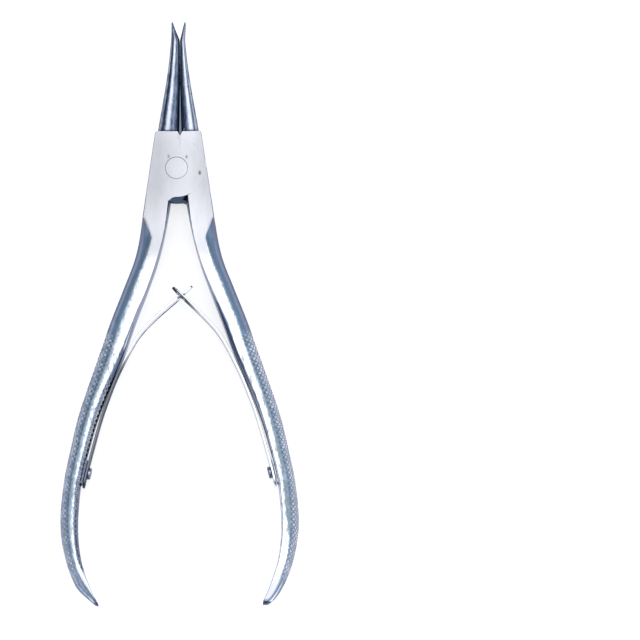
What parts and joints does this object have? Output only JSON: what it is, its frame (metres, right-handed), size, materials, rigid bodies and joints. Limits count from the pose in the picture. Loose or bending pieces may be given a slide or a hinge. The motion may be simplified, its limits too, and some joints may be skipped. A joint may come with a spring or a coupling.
{
  "type": "circlip pliers",
  "caption": "Slim steel pliers that open outside circlips: uncrossed lapped halves on a flush rivet, tapered round jaws, bowed knurled handles and paired leaf springs.",
  "frame": {"origin": "on the rivet's axis, at the head's back face, which the pliers lie on", "axes": "+Y from the rivet towards the jaw tips, +Z out of the head's front face, +X towards the right handle seen from the front"},
  "size_m": [0.0556, 0.1398, 0.007],
  "materials": {
    "forged_steel": "satin ground head, polished jaws, bright knurled handles",
    "rivet_steel": "satin, ground flush with the head",
    "spring_steel": "bright rolled strip",
    "screw_steel": "bright turned"
  },
  "bodies": {
    "left_side": {"left_half": "forged_steel", "pivot_rivet": "rivet_steel", "left_leaf_spring": "spring_steel", "left_spring_screw": "screw_steel"},
    "right_side": {"right_half": "forged_steel", "right_leaf_spring": "spring_steel", "right_spring_screw": "screw_steel"}
  },
  "joints": [
    {"name": "plier_pivot", "type": "hinge", "parent": "left_side", "child": "right_side", "pos_m": [0, 0, 0.0035], "axis": [0, 0, -1], "range_deg": [0, 18], "stiffness_Nm_per_rad": 2.9, "springref_deg": -7.45, "deforming": ["left_leaf_spring", "right_leaf_spring"]}
  ]
}
